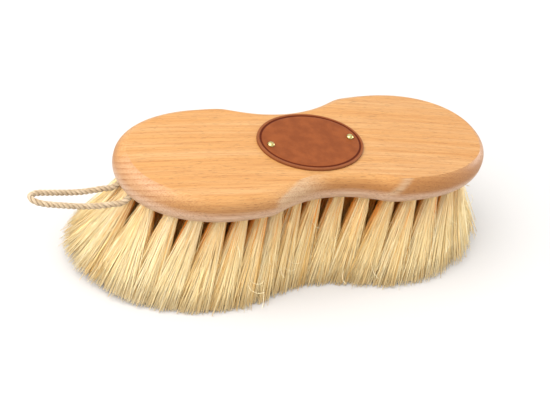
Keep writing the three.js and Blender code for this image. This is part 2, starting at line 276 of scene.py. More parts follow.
def tubes(paths, radii, sides, aside):
    """Closed tubes along paths of shape (tube, ring, 3). aside points across each path."""
    run = unit(np.gradient(paths, axis=1))
    first = unit(aside - run * (aside * run).sum(-1, keepdims=True))
    second = np.cross(run, first)
    ring = circle(sides)
    spokes = first[:, :, None] * ring[:, :1] + second[:, :, None] * ring[:, 1:]
    rings = paths[:, :, None] + radii[:, :, None, None] * spokes
    index = np.arange(rings[..., 0].size).reshape(rings.shape[:3])
    beside = np.roll(index, -1, axis=2)
    walls = np.stack([index[:, :-1], beside[:, :-1], beside[:, 1:], index[:, 1:]], -1)
    caps = np.stack([index[:, 0, ::-1], index[:, -1]], 1)
    return rings, walls.reshape(-1, 4).tolist() + caps.reshape(-1, sides).tolist()


def level_ring(flat, height):
    return np.c_[flat, np.full(len(flat), height)]


def ring_walls(levels, count):
    low = np.arange(count)
    high = np.roll(low, -1)
    wall = np.stack([low, high, count + high, count + low], 1)
    return np.concatenate([level * count + wall for level in range(levels - 1)]).tolist()


def closed_rings(levels, count):
    """The walls between rings, with one face below and one above."""
    low = np.arange(count)
    top = (levels - 1) * count + low
    return [low[::-1].tolist()] + ring_walls(levels, count) + [top.tolist()]


print("a ring of six points:", circle(6).round(2).tolist())


# %% Pieces
def new_piece(name, points, faces, finish, slot, sharp_angle=None):
    mesh = bpy.data.meshes.new(name)
    mesh.from_pydata(np.asarray(points, float).reshape(-1, 3) * MM, [], faces)
    mesh.materials.append(finish)
    mesh.shade_smooth()
    if sharp_angle is not None:
        mesh.set_sharp_from_angle(angle=math.radians(sharp_angle))
    piece = bpy.data.objects.new(name, mesh)
    bpy.context.scene.collection.objects.link(piece)
    return piece


def add_map(piece, name, corners):
    layer = piece.data.uv_layers.new(name=name, do_init=False)
    layer.data.foreach_set("uv", np.asarray(corners, np.float32).ravel())


def add_values(piece, name, values):
    attribute = piece.data.attributes.new(name, "FLOAT", "POINT")
    attribute.data.foreach_set("value", np.asarray(values, np.float32).ravel())


print("mesh helpers ready")

# %% [markdown]
# ## The cord
# The hanging loop is one length of twisted natural-fibre cord. Both ends go up into bores in the rounded
# lower edge of the back, bend round under it and run out to the loop. A plain tube would show no twist,
# so the cord is three strands that wind round one centre line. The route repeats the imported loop's own
# points: distance past the pivot, distance from the midline, and rise.

# %% Cord route
CORD_DIAMETER = 2.8
CORD_BEND_RADIUS = 6
BEND_STEPS = 5
LOOP_ROUTE = [
    (0, 5.6, 0),
    (4, 5.5, -0.2),
    (9, 5.2, -0.2),
    (15, 4.9, 0.3),
    (21, 4.6, 1.2),
    (26.5, 4.3, 2.1),
    (31, 4, 2.9),
    (34.2, 3.4, 3.5),
    (36.4, 2.3, 3.9),
    (37.4, 1.1, 4.1),
    (37.7, 0, 4.1),
]
pivot = Vector(frame["joints"][0]["pos_m"]) / MM
end_low, end_high = [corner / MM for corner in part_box("cord_end_front")]
cord_x = end_high.x - CORD_DIAMETER / 2
cord_y = abs(end_low.y + end_high.y) / 2


def half_cord(side):
    """The centre line from the blind end of one bore to the tip of the loop."""
    bend_top = pivot.z + CORD_BEND_RADIUS
    points = [(cord_x, side * cord_y, end_high.z), (cord_x, side * cord_y, bend_top + CORD_DIAMETER)]
    for step in range(BEND_STEPS + 1):
        angle = math.pi / 2 * step / BEND_STEPS
        x = cord_x - CORD_BEND_RADIUS * (1 - math.cos(angle))
        points.append((x, side * cord_y, bend_top - CORD_BEND_RADIUS * math.sin(angle)))
    for reach, spread, rise in LOOP_ROUTE:
        points.append((pivot.x - reach, side * spread, pivot.z + rise))
    return points


cord_points = half_cord(-1) + half_cord(1)[-2::-1]
print("cord route:", len(cord_points), "points")

# %% [markdown]
# Straight steps between those points would show as kinks. A Bezier curve through them, whose handles
# follow the neighbouring points, is smooth, and points at an even step along it are easy to twist.

# %% Smooth centre line
CORD_STEP = 0.4
CURVE_STEPS = 12


def distances(points):
    """How far along a line each of its points lies."""
    return np.r_[0, np.cumsum(np.linalg.norm(np.diff(points, axis=0), axis=1))]


def even_distances(run, step):
    """Distances about one step apart, from the start of a line to its end."""
    return np.linspace(0, run[-1], max(round(run[-1] / step), 1) + 1)


def at_distances(wanted, run, values):
    return np.stack([np.interp(wanted, run, axis) for axis in values.T], 1)


def smooth_route(points, step):
    """Even points on one smooth curve through the given ones, and its length."""
    points = [Vector(p) for p in points]
    along = [points[1] - points[0]]
    along += [after - before for before, after in zip(points, points[2:])]
    along.append(points[-1] - points[-2])
    line = []
    for i in range(len(points) - 1):
        hold = (points[i + 1] - points[i]).length / 3
        start = points[i] + along[i].normalized() * hold
        end = points[i + 1] - along[i + 1].normalized() * hold
        line += interpolate_bezier(points[i], start, end, points[i + 1], CURVE_STEPS)[:-1]
    line = np.array(line + [points[-1]], float)
    run = distances(line)
    return at_distances(even_distances(run, step), run, line), run[-1]


cord_line, cord_length = smooth_route(cord_points, CORD_STEP)
print(f"cord: {cord_length:.1f} mm long, {len(cord_line)} points")

# %% [markdown]
# A strand keeps its angle round the centre line only if that line's cross directions are carried along
# it without twisting. So a first cross direction is carried from point to point, each time made square
# to the new direction, and the strands then turn round it by the lay: one full turn in that length.

# %% Cord strands
CORD_STRANDS = 3
CORD_LAY = 7.6
STRAND_RADIUS = 0.78
STRAND_PROUD = 0.1  # how far a strand stands out of the cord's mean size
STRAND_ORBIT = CORD_DIAMETER / 2 + STRAND_PROUD - STRAND_RADIUS
STRAND_SIDES = 12


def carried_across(line):
    run = unit(np.gradient(line, axis=0))
    across = [np.array([0.0, 1.0, 0.0])]
    for direction in run:
        carried = across[-1] - direction * (across[-1] @ direction)
        across.append(carried / np.linalg.norm(carried))
    across = np.array(across[1:])
    return across, np.cross(run, across)


def twisted_cord(line):
    first, second = carried_across(line)
    length = CORD_STEP * np.arange(len(line))
    paths, spokes = [], []
    for strand in range(CORD_STRANDS):
        turn = 2 * np.pi * (length / CORD_LAY + strand / CORD_STRANDS)
        spoke = first * np.cos(turn)[:, None] + second * np.sin(turn)[:, None]
        paths.append(line + STRAND_ORBIT * spoke)
        spokes.append(spoke)
    radii = np.full((CORD_STRANDS, len(line)), STRAND_RADIUS)
    return tubes(np.array(paths), radii, STRAND_SIDES, np.array(spokes))


strand_rings, strand_faces = twisted_cord(cord_line)
print("cord strands:", strand_rings.shape[0], "with", strand_rings.shape[1], "rings each")

# %% [markdown]
# The cord's finish is spun fibre: pale and darker yarn runs along each strand at a slant, and the grooves
# between the strands get painted shade. The pattern has to stay on the cord when the loop swings, so it is
# laid out on the strand itself, round it and along it in millimetres, and not in space.

# %% Cord finish
STRAND_SHIFT = 40  # mm from one strand's stretch of the pattern to the next one's


def cord_finish():
    finish, start = start_finish("twisted natural cord")
    around = stored(start, "strand_around")
    along = stored(start, "strand_along")
    groove_shade = stored(start, "strand_groove")
    slant = around + along * 0.55
    yarn = noise(start.node("CombineXYZ", None, {0: slant * 3.2, 1: along * 0.16}), 3, 0.6)
    blotch = noise(start.node("CombineXYZ", None, {0: along * 0.22, 1: around * 0.3}))
    pale = mixed(rising(blotch, 0.38, 0.62), shade(212, 190, 158), shade(192, 174, 148))
    colour = mixed(rising(yarn, 0.4, 0.6), shade(160, 134, 100), pale)
    # painted shade in the grooves between the strands
    colour = mixed(rising(groove_shade, 0.14, 0.5) * 0.68, colour, shade(104, 82, 58))
    normal = bumped(yarn, 0.2, 0.8)
    close_finish(start, {"Base Color": colour, "Roughness": 0.85, "Normal": normal, "Sheen Weight": 0.1})
    return finish


def make_cord():
    cord = new_piece("hanging_cord", strand_rings, strand_faces, cord_finish(), "cord")
    shape = strand_rings.shape[:3]
    strands, rings, sides = shape
    turn = 2 * np.pi * np.arange(sides) / sides
    along = (CORD_STEP * np.arange(rings))[:, None] + STRAND_SHIFT * np.arange(strands)[:, None, None]
    add_values(cord, "strand_around", np.broadcast_to(turn * STRAND_RADIUS, shape))
    add_values(cord, "strand_along", np.broadcast_to(along, shape))
    # how deep in a groove each point lies, for the painted shade there
    add_values(cord, "strand_groove", np.broadcast_to((1 - np.cos(turn)) / 2, shape))
    return cord


cord = make_cord()
print("cord faces:", len(cord.data.polygons))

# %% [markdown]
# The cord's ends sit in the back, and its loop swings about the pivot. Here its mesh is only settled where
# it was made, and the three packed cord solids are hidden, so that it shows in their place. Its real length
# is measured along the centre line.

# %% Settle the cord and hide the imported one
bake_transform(cord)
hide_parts("hanging_loop", "cord_end_front", "cord_end_back")
print(f"cord declared, {cord_length:.1f} mm")

# %% [markdown]
# ## The outline of the back
# Everything else follows the outline of the back: its edges, and the rows of tufts under it. A quarter of
# it is enough, mirrored about both axes. A lobe ends in a curve a little squarer than an ellipse, a round
# scoop takes the fingers, and the corner between them is eased.

# %% Outline
back_low, back_high = [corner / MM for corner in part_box("wooden_back")]
END_X = back_high.x
UNDERSIDE = back_low.z
TOP = back_high.z
LOBE_HALF_WIDTH = 36
LOBE_CENTRE = 48.5
LOBE_POWER = 2.13
LOBE_NARROWING = 4.5
WAIST_HALF_WIDTH = 27.2
SCOOP_RADIUS = 64
CORNER_EASE = 1.6


def half_width(distance, inset):
    run = END_X - inset - LOBE_CENTRE
    past = max(distance - LOBE_CENTRE, 0) / run
    before = max(LOBE_CENTRE - distance, 0) / LOBE_CENTRE
    rounded = max(1 - past**LOBE_POWER, 0) ** (1 / LOBE_POWER)
    lobe = (LOBE_HALF_WIDTH - inset) * rounded - LOBE_NARROWING * before**2
    radius = SCOOP_RADIUS + inset
    if distance >= radius:
        return lobe
    scoop = WAIST_HALF_WIDTH - inset + radius - math.sqrt(radius**2 - distance**2)
    return (lobe + scoop - math.hypot(lobe - scoop, CORNER_EASE)) / 2


def quarter_outline(inset, waist_steps, end_steps):
    """From the middle of a scoop to the tip of a lobe."""
    run = END_X - inset - LOBE_CENTRE
    reach = [LOBE_CENTRE * i / waist_steps for i in range(waist_steps)]
    turns = [math.pi / 2 * i / end_steps for i in range(end_steps)]
    reach += [LOBE_CENTRE + run * math.sin(turn) ** (2 / LOBE_POWER) for turn in turns]
    return np.array([(x, half_width(x, inset)) for x in reach] + [(END_X - inset, 0)])


print("back, mm:", [round(c, 1) for c in back_high - back_low])

# %% [markdown]
# ## Where the tufts stand
# The tufts are set in rows that follow the outline, an outer and an inner one, with two short rows in the
# middle of each lobe. The roots divide an inset outline evenly, with a tuft at each lobe's tip and in the
# middle of each scoop, and they stand closer together on the lobe with the cord. Every tuft leans
# outwards: straight out beside the scoops, and square to the outline round the end of a lobe. Tips at the
# ends splay a little further, and tips where a lobe turns reach a little less.

# %% One quarter of a row
TUFT_PITCH = {-1: 11.4, 1: 12.9}  # on the lobe with the cord, and on the other
END_SPLAY = {-1: 5.5, 1: 3.5}
CORNER_PULL = 2  # how much less the tufts reach where a lobe turns
OUTER_ROW_INSET = 10.8
OUTER_TIP_INSET = -4
INNER_ROW_INSET = 21
INNER_TIP_INSET = 12
ROW_STEPS = 100


def quarter_row(root_inset, tip_inset, side):
    """Roots, tips and outward directions of the tufts on one quarter of the outline."""
    outline = quarter_outline(root_inset, ROW_STEPS, ROW_STEPS)
    run = distances(outline)
    wanted = even_distances(run, TUFT_PITCH[side])
    roots = at_distances(wanted, run, outline)
    forward = at_distances(wanted, run, np.gradient(outline, axis=0))
    outward = unit(np.stack([-forward[:, 1], forward[:, 0]], 1))
    outward[roots[:, 0] < LOBE_CENTRE] = (0, 1)
    outward[-1] = (1, 0)
    turned = 2 * outward[:, :1] * outward[:, 1:]
    reach = root_inset - tip_inset + END_SPLAY[side] * outward[:, :1] - CORNER_PULL * turned**2
    return roots, roots + outward * reach, outward


quarter_roots, *_ = quarter_row(OUTER_ROW_INSET, OUTER_TIP_INSET, -1)
print("roots on an outer quarter with the cord:", len(quarter_roots))

# %% [markdown]
# Along its sides this brush's tips lie over towards the cord. Each of them slides along the line that all
# the tips stand on, so that the foot of the brush keeps its outline, and the slide fades out towards the
# ends. The mean distance to its two nearest tips then tells each tuft how wide it may spread.

# %% Rows along the outline
SWEEP = 9  # how far the tips along the sides are brushed towards the cord
SWEEP_START = {-1: 0.5, 1: 0.25}  # squared sideways share of a tuft's lean at which its sweep begins


def smooth_step(values, start, stop):
    share = np.clip((values - start) / (stop - start), 0, 1)
    return share**2 * (3 - 2 * share)


def swept(tufts):
    """The tufts with their tips brushed towards the cord, each with its distance between tips."""
    tip_line = np.array([tip for _, tip, _ in tufts])
    tip_line = tip_line[np.argsort(tip_line[:, 0])]
    moved = []
    for root, tip, outward in tufts:
        side = 1 if tip[0] > 0 else -1
        shift = SWEEP * smooth_step(outward[1] ** 2, SWEEP_START[side], 1)
        beside = tip_line[tip_line[:, 1] * outward[1] >= 0]
        x = tip[0] - shift
        y = np.interp(x, beside[:, 0], beside[:, 1]) if shift else tip[1]
        moved.append((root, np.array([x, y]), outward))
    tips = np.array([tip for _, tip, _ in moved])
    pitches = [np.sort(np.linalg.norm(tips - tip, axis=1))[1:3].mean() for tip in tips]
    return [(*tuft, pitch) for tuft, pitch in zip(moved, pitches)]


def outline_row(root_inset, tip_inset):
    """Tufts as (root, tip, outward direction, distance between tips)."""
    tufts = []
    for side in TUFT_PITCH:
        quarter = list(zip(*quarter_row(root_inset, tip_inset, side)))
        for half in (-1, 1):
            fold = (side, half)
            first = 0 if side < 0 else 1
            last = len(quarter) if half < 0 else len(quarter) - 1
            tufts += [tuple(part * fold for part in tuft) for tuft in quarter[first:last]]
    return swept(tufts)


tuft_rows = {
    "outer_tuft_row": outline_row(OUTER_ROW_INSET, OUTER_TIP_INSET),
    "inner_tuft_row": outline_row(INNER_ROW_INSET, INNER_TIP_INSET),
}
print("tufts along the outline:", {name: len(tufts) for name, tufts in tuft_rows.items()})

# %% [markdown]
# Inside the inner row each lobe has room for two short rows along the brush. They start where the inset
# outline is wide enough for them, so the first place is found by stepping along it.

# %% Rows in the middle of each lobe
CENTRE_ROW_SPACING = 9.6
CENTRE_ROW_ROOM = 12.3
CENTRE_TIP_SPACING = 13
CENTRE_END_SPLAY = 6
ROOM_STEP = 0.1


def centre_rows(side):
    """The two short rows of one lobe; side is -1 for the lobe with the cord."""
    start = CENTRE_ROW_ROOM
    while start < LOBE_CENTRE and half_width(start, INNER_ROW_INSET) < CENTRE_ROW_ROOM:
        start += ROOM_STEP
    stop = END_X - INNER_ROW_INSET - CENTRE_ROW_ROOM
    gaps = max(round((stop - start) / TUFT_PITCH[side]), 1)
    splay = 1 + CENTRE_END_SPLAY / ((stop - start) / 2)
    middle = (start + stop) / 2
    tufts = []
    for half in (-1, 1):
        for i in range(gaps + 1):
            along = (stop - start) * (i / gaps - 0.5)
            root = np.array([side * (middle + along), half * CENTRE_ROW_SPACING / 2])
            tip = np.array([side * (middle + along * splay), half * CENTRE_TIP_SPACING / 2])
            tufts.append((root, tip, np.array([0.0, half]), (stop - start) / gaps * splay))
    return tufts


tuft_rows["centre_tufts_left"] = centre_rows(-1)
tuft_rows["centre_tufts_right"] = centre_rows(1)
print("tufts:", {name: len(tufts) for name, tufts in tuft_rows.items()})

# %% [markdown]
# ## The fibres
# A tuft is a bundle of fibres doubled over in its hole. Hair particles would not leave a mesh behind, so
# each fibre is a three-sided tube. It starts in the hole, leans out with its tuft, spreads away from the
# tuft's middle, waves a little, and is drawn towards one of a few locks, because fibres cling together.
# The trim leaves the tips nearly level, a little higher at the ends of the lobes, and a few strays
# wander off.

# %% Fibre sizes
HOLE_RADIUS = 3
ROOT_SINK = 2.5
FIBRE_RADIUS = 0.14
LEAN_POWER = 1.15
SPREAD_POWER = 1.05
TIP_OVERLAP = 0.66  # a tuft's half width at its tips, in distances between tips
TIP_HALF_DEPTH = 5.6
SPOT_SHAKE = 0.05  # in tuft radii, as is the next value
AIM_SHAKE = 0.2
LOCKS = 20
LOCK_PULL = 0.14
WAVE_SIZE = 0.65
WAVE_COUNTS = (0.7, 1.5)  # waves in a fibre's length
WAVE_SLIP = 0.5  # how far fibres of a lock may be out of step, in waves
TRIM_RAGGED = 1.1
END_TRIM = 3.6  # how far above the floor the tips at a lobe's end are cut
STRAY_SHARE = 0.025
STRAY_REACH = 3.2
# how far a tuft's flanks share the painted shade of its inner side
SIDE_SHADE_DEPTH = 0.65  # how much the flanks of a tuft count as inside it
FALL = np.array([0, 0.2, 0.45, 0.72, 1])  # shares of the way down where a fibre has a ring
FIBRES_PER_TUFT = {
    "outer_tuft_row": 600,
    "inner_tuft_row": 200,
    "centre_tufts_left": 200,
    "centre_tufts_right": 200,
}
GOLDEN_TURN = math.pi * (3 - math.sqrt(5))
print("fibres:", sum(len(tuft_rows[name]) * count for name, count in FIBRES_PER_TUFT.items()))

# %% [markdown]
# One function makes a whole tuft as arrays. Spots on a disc, turned by the golden angle, fill the hole
# evenly without any test for overlaps. The same spots, scattered and drawn to their locks, are the places
# that the fibres aim for at their tips.


# %% One tuft's fibres
def disc_spots(draw, count):
    """Spots spread evenly over a disc of radius 1, a little shaken."""
    order = np.arange(count)
    reach = np.sqrt((order + 0.5) / count)
    turn = order * GOLDEN_TURN + draw.uniform(0, 2 * np.pi)
    spots = np.stack([reach * np.cos(turn), reach * np.sin(turn)], 1)
    return spots + draw.normal(0, SPOT_SHAKE, spots.shape)


def fibre_waves(draw, lock, reach):
    """How far each fibre waves aside at its rings; a lock's fibres are nearly in step."""
    count = len(lock)
    size = draw.normal(0, WAVE_SIZE, (count, 1)) * reach
    waves = draw.uniform(*WAVE_COUNTS, (count, 1))
    phase = draw.uniform(0, WAVE_SLIP, (count, 1)) + draw.uniform(0, 1, LOCKS)[lock][:, None]
    wave = np.sin(2 * np.pi * (waves * FALL + phase)) * np.sqrt(FALL) * size
    sway = draw.uniform(0, 2 * np.pi, count)
    return wave[:, :, None] * np.stack([np.cos(sway), np.sin(sway)], 1)[:, None]


def tuft_fibres(draw, root, tip, outward, tip_pitch, count):
    """Paths of one tuft's fibres, shape (fibre, ring, 3), each one's lock, and how far it lies from the
    tuft's inner side and flanks, which sets its painted shade.
    """
    across = np.array([-outward[1], outward[0]])
    tuft_axes = np.stack([across, outward])
    spots = disc_spots(draw, count)
    locks = disc_spots(draw, LOCKS)
    lock = np.linalg.norm(spots[:, None] - locks, axis=2).argmin(1)
    aims = spots + draw.normal(0, AIM_SHAKE, spots.shape)
    aims += LOCK_PULL * (locks[lock] - aims)
    at_root = spots * HOLE_RADIUS @ tuft_axes
    at_tip = aims * (TIP_OVERLAP * tip_pitch, TIP_HALF_DEPTH) @ tuft_axes
    lean = (FALL**LEAN_POWER)[None, :, None]
    spread = (FALL**SPREAD_POWER)[None, :, None]
    flat = root + (tip - root) * lean + at_root[:, None] * (1 - spread) + at_tip[:, None] * spread
    reach = np.where(draw.uniform(0, 1, (count, 1)) < STRAY_SHARE, STRAY_REACH, 1)
    flat += fibre_waves(draw, lock, reach)
    trim = np.abs(draw.normal(0, TRIM_RAGGED, (count, 1))) * reach + END_TRIM * outward[0] ** 2
    height = UNDERSIDE * (1 - FALL) + (FIBRE_RADIUS + trim) * FALL
    free = np.concatenate([flat, height[:, :, None]], 2)
    sunk = free[:, :1] + (0, 0, ROOT_SINK)
    return np.concatenate([sunk, free], 1), lock, spots[:, 1] - SIDE_SHADE_DEPTH * spots[:, 0] ** 2


sample, *_ = tuft_fibres(np.random.default_rng(1), *tuft_rows["outer_tuft_row"][0], 20)
print("a sample tuft spans, mm:", np.ptp(sample, axis=(0, 1)).round(1))

# %% [markdown]
# The fibre's finish depends on two values only: the fibre's own tone, and how far down it one is. Real
# fibre runs from pale cream to gold. Each fibre gets a painted amber glow at the root, strongest on the
# dark tones inside a tuft, which stands in for light passed on through the fibres, and the last stretch
# towards the tips is a little duller. The tones come in a fixed number of steps, so that one flat map,
# with a column for each tone, carries the colour of every fibre when the model is exported.

# %% Fibre finish
FIBRE_TONES = 64
CAP_HEIGHT = 0.02  # of a cap's triangle on the map


def fibre_finish():
    finish, start = start_finish("straw plant fibre")
    tone = stored(start, "fibre_tone")
    along = stored(start, "fibre_along")
    stops = [
        (0, shade(222, 168, 90)),
        (0.25, shade(233, 190, 114)),
        (0.5, shade(248, 224, 168)),
        (0.75, shade(252, 236, 192)),
        (1, shade(254, 245, 216)),
    ]
    straw = start.node("ValToRGB", {"stops": stops}, {0: tone})
    # painted amber glow at the roots, standing in for light passed on through the fibres, most on the dark
    # tones
    root = 1 - rising(along, 0.15, 0.6)
    inside_glow = 1 - rising(tone, 0.15, 0.4)
    colour = mixed(root * (0.12 + inside_glow * 0.88), straw, shade(248, 151, 46))
    colour = mixed(rising(along, 0.84, 1) * 0.15, colour, shade(204, 162, 110))
    close_finish(start, {"Base Color": colour, "Roughness": 0.55, "Specular IOR Level": 0.3})
    return finish


def tone_map(columns, along, sides):
    """Map corners of the walls and the caps: a column for each tone, and the way down it."""
    left = columns / FIBRE_TONES
    right = left + 1 / FIBRE_TONES
    wall = [(left, along[:-1]), (right, along[:-1]), (right, along[1:]), (left, along[1:])]
    corners = [np.stack(np.broadcast_arrays(u[:, None], v), 2) for u, v in wall]
    walls = np.repeat(np.stack(corners, 2)[:, :, None], sides, 2)
    caps = [[(0, end), (1, end), (0.5, end + rise)] for end, rise in ((0, CAP_HEIGHT), (1, -CAP_HEIGHT))]
    caps = np.array(caps)[None] / (FIBRE_TONES, 1) + np.stack([left, 0 * left], 1)[:, None, None]
    return np.concatenate([walls.reshape(-1, 2), caps.reshape(-1, 2)])


straw_fibre = fibre_finish()
print("fibre finish ready, with", FIBRE_TONES, "tones")

# %% [markdown]
# Each fibre's tone is a sum: that of its row, of its place along the brush, of its tuft and its lock, and
# a little of its own. The low tones of the inner rows, and of the inner side and the flanks of a tuft, are
# painted shade, which sets the tufts apart. The place along the brush adds painted shade beside the waist
# and painted light towards the ends.

# %% Fibre tones
# the inner rows' low tones are painted shade
MEAN_TONE_AND_SHADE = {
    "outer_tuft_row": 0.52,
    "inner_tuft_row": 0.12,
    "centre_tufts_left": 0.1,
    "centre_tufts_right": 0.1,
}
# painted shade beside the waist and painted light towards the ends
LIGHT_AND_SHADE_ALONG = {-105: 0.06, -60: -0.04, -12: -0.07, 42: 0, 105: 0.12}  # mm from the middle, and tone added
TUFT_TONE_SPREAD = 0.03
LOCK_TONE_SPREAD = 0.05
FIBRE_TONE_SPREAD = 0.12
# painted shade on the inner side and the flanks of each tuft
INSIDE_SHADE = 0.4  # how much darker the fibres on the inner side of a tuft are


def fibre_columns(draw, node, tufts, locks, shade_depths):
    """Each fibre's tone, as a whole column of the map."""
    count = len(tufts)
    places = [tip[0] for _, tip, *_ in tufts]
    # each tuft's tone, with painted light and shade by its place along the brush
    mean = MEAN_TONE_AND_SHADE[node] + np.interp(places, list(LIGHT_AND_SHADE_ALONG), list(LIGHT_AND_SHADE_ALONG.values()))[:, None]
    tuft_tone = mean + draw.normal(0, TUFT_TONE_SPREAD, (count, 1))
    tone = tuft_tone + draw.normal(0, FIBRE_TONE_SPREAD, locks.shape)
    shift = draw.normal(0, LOCK_TONE_SPREAD, (count, LOCKS))
    # lock tones, and painted shade on a tuft's inner side and flanks
    tone += np.take_along_axis(shift, locks, 1) + INSIDE_SHADE * np.minimum(shade_depths, 0)
    return np.clip(tone * FIBRE_TONES, 0, FIBRE_TONES - 1).astype(int).ravel()


print("tones of the four rows:", MEAN_TONE_AND_SHADE)

# %% [markdown]
# The outer row has most of the fibres, so it becomes four pieces, one for each quarter of the outline.
# Each piece draws its fibres from its own seed and is therefore the same in every run.

# %% All the fibres
FIBRE_SIDES = 3
FIBRE_TIP_SHARE = 0.9  # of the radius at the root
THICKNESS_SHARES = (0.7, 1.25)
ASIDE_RISE = 0.5  # tilts a fibre's cross direction a little out of level
SUNK_SHARE = 0.03  # of a fibre's colours, for the stretch inside the hole


def fibre_groups():
    """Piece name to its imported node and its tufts."""
    groups = {}
    for node, tufts in tuft_rows.items():
        for tuft in tufts:
            name = node.replace("tuft", "fibre")
            if node == "outer_tuft_row":
                x, y = tuft[0]
                name = f"outer_fibres_{'front' if y < 0 else 'back'}_{'left' if x < 0 else 'right'}"
            groups.setdefault(name, (node, []))[1].append(tuft)
    return groups


def fibre_piece(draw, name, node, paths, columns, along):
    fibres = len(paths)
    thick = draw.uniform(*THICKNESS_SHARES, (fibres, 1)) * FIBRE_RADIUS
    radii = thick * (1 + (FIBRE_TIP_SHARE - 1) * along)
    spin = draw.uniform(0, 2 * np.pi, fibres)
    aside = np.stack([np.cos(spin), np.sin(spin), np.full(fibres, ASIDE_RISE)], 1)[:, None]
    points, faces = tubes(paths, radii, FIBRE_SIDES, np.broadcast_to(aside, paths.shape))
    piece = new_piece(name, points, faces, straw_fibre, "fibre")
    tones = (columns + 0.5) / FIBRE_TONES
    add_values(piece, "fibre_tone", np.broadcast_to(tones[:, None, None], points.shape[:3]))
    add_values(piece, "fibre_along", np.broadcast_to(along[:, None], points.shape[:3]))
    add_map(piece, "OFBake", tone_map(columns, along, FIBRE_SIDES))
    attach(piece, "back")
    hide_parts(node)
    return piece


def make_fibres(name, node, tufts, seed):
    draw = np.random.default_rng(seed)
    drawn = [tuft_fibres(draw, *tuft, FIBRES_PER_TUFT[node]) for tuft in tufts]
    paths, locks, shade_depths = [np.array(part) for part in zip(*drawn)]
    columns = fibre_columns(draw, node, tufts, locks, shade_depths)
    along = np.r_[0, SUNK_SHARE + (1 - SUNK_SHARE) * FALL]
    return fibre_piece(draw, name, node, paths.reshape(-1, *paths.shape[2:]), columns, along)


for seed, (name, (node, tufts)) in enumerate(fibre_groups().items()):
    made = make_fibres(name, node, tufts, seed)
    print(made.name, "has", len(tufts), "tufts and", len(made.data.polygons), "faces")

# %% [markdown]
# Some fibres spring out of a tuft and curl. Each of these leaves the outer side of a tuft, heads down and
# outwards, and follows an arc from there.

# %% Loose fibres
LOOSE_FIBRES = 60
LOOSE_RINGS = 10
LOOSE_SEED = 40
LOOSE_COLUMN = 52  # of the tones
LOOSE_COLOURS = (0.4, 0.8)  # the stretch of a fibre that their colours are taken from
LOOSE_STARTS = (0.2, 0.85)  # shares of the way down
LOOSE_FALL = 0.6  # weights of the tuft's own direction, of the outward one and of a random one
LOOSE_OUTWARD = (0.1, 0.5)
LOOSE_SHAKE = 0.35
LOOSE_CURLS = (0.6, 2.6)  # turn along the whole fibre, in radians
LOOSE_LENGTHS = (6, 13)


def loose_path(draw, root, tip, outward):
    left_at = draw.uniform(*LOOSE_STARTS)
    start = np.r_[root + (tip - root + outward * TIP_HALF_DEPTH) * left_at, UNDERSIDE * (1 - left_at)]
    fall = unit(np.r_[tip - root, -UNDERSIDE])
    aside = np.r_[outward, 0] * draw.uniform(*LOOSE_OUTWARD)
    heading = unit(fall * LOOSE_FALL + aside + draw.normal(0, LOOSE_SHAKE, 3))
    bend = unit(np.cross(heading, draw.normal(0, 1, 3)))
    curl = draw.uniform(*LOOSE_CURLS)
    turn = curl * np.linspace(0, 1, LOOSE_RINGS)[:, None]
    arc = np.sin(turn) * heading + (1 - np.cos(turn)) * bend
    path = start + draw.uniform(*LOOSE_LENGTHS) / curl * arc
    path[:, 2] = np.maximum(path[:, 2], 2 * FIBRE_RADIUS)
    return path


def make_loose_fibres():
    draw = np.random.default_rng(LOOSE_SEED)
    tufts = tuft_rows["outer_tuft_row"]
    picks = draw.integers(0, len(tufts), LOOSE_FIBRES)
    paths = np.array([loose_path(draw, *tufts[pick][:3]) for pick in picks])
    columns = np.full(LOOSE_FIBRES, LOOSE_COLUMN)
    along = np.linspace(*LOOSE_COLOURS, LOOSE_RINGS)
    return fibre_piece(draw, "loose_fibres", "outer_tuft_row", paths, columns, along)


loose = make_loose_fibres()
print("loose fibres:", LOOSE_FIBRES, "with", len(loose.data.polygons), "faces")

# %% [markdown]
# ## The beech back
# The back is routed from one board: a flat top with a rounded edge, and a fuller round below where the
# fingers hold it. Rings of the outline, drawn in step by step, make its edge, and strips across it close
# the top and the underside. The rounding cutter leaves a faint line where it meets the flat top, so that
# edge is kept sharp. On the near side of the far lobe the round is narrower and its line crisper, so the
# rings blend from one edge into the other there.

# %% Edge of the back
TOP_ROUND = 4.8
CRISP_ROUND = 3.4
BOTTOM_ROUND = 7.8
TOP_EDGE_ANGLE = 20  # degrees between the flat top and the rounded edge
CRISP_EDGE_ANGLE = 42
ROUND_STEPS = 12


def edge_profile(top_round, edge_angle):
    """Insets and heights of the edge, from the underside up to the flat top."""
    steps = np.arange(ROUND_STEPS + 1) / ROUND_STEPS
    profile = []
    for angle in math.pi / 2 * (1 - steps):
        inset = BOTTOM_ROUND * (1 - math.cos(angle))
        profile.append((inset, UNDERSIDE + BOTTOM_ROUND * (1 - math.sin(angle))))
    last = math.radians(90 - edge_angle)
    radius = top_round / (1 - math.cos(last))
    for angle in last * steps:
        drop = radius * (math.sin(last) - math.sin(angle))
        profile.append((radius * (1 - math.cos(angle)), TOP - drop))
    return profile


soft_edge = edge_profile(TOP_ROUND, TOP_EDGE_ANGLE)
crisp_edge = edge_profile(CRISP_ROUND, CRISP_EDGE_ANGLE)
print("edge of the back:", len(soft_edge), "rings")

# %% Back solid
CRISP_START = (28, 40)  # along the back, from where the crisp edge begins to where it is whole
CRISP_STOP = (99, 86)
CRISP_SIDE = (0, -16)  # the same across the back
BACK_WAIST_STEPS = 44
BACK_END_STEPS = 40


def back_ring(inset, height):
    """The whole outline, counterclockwise from the tip away from the cord."""
    quarter = quarter_outline(inset, BACK_WAIST_STEPS, BACK_END_STEPS)
    far = quarter[:0:-1]
    near = quarter[:-1]
    return level_ring(np.concatenate([far, near * (-1, 1), far * (-1, -1), near * (1, -1)]), height)


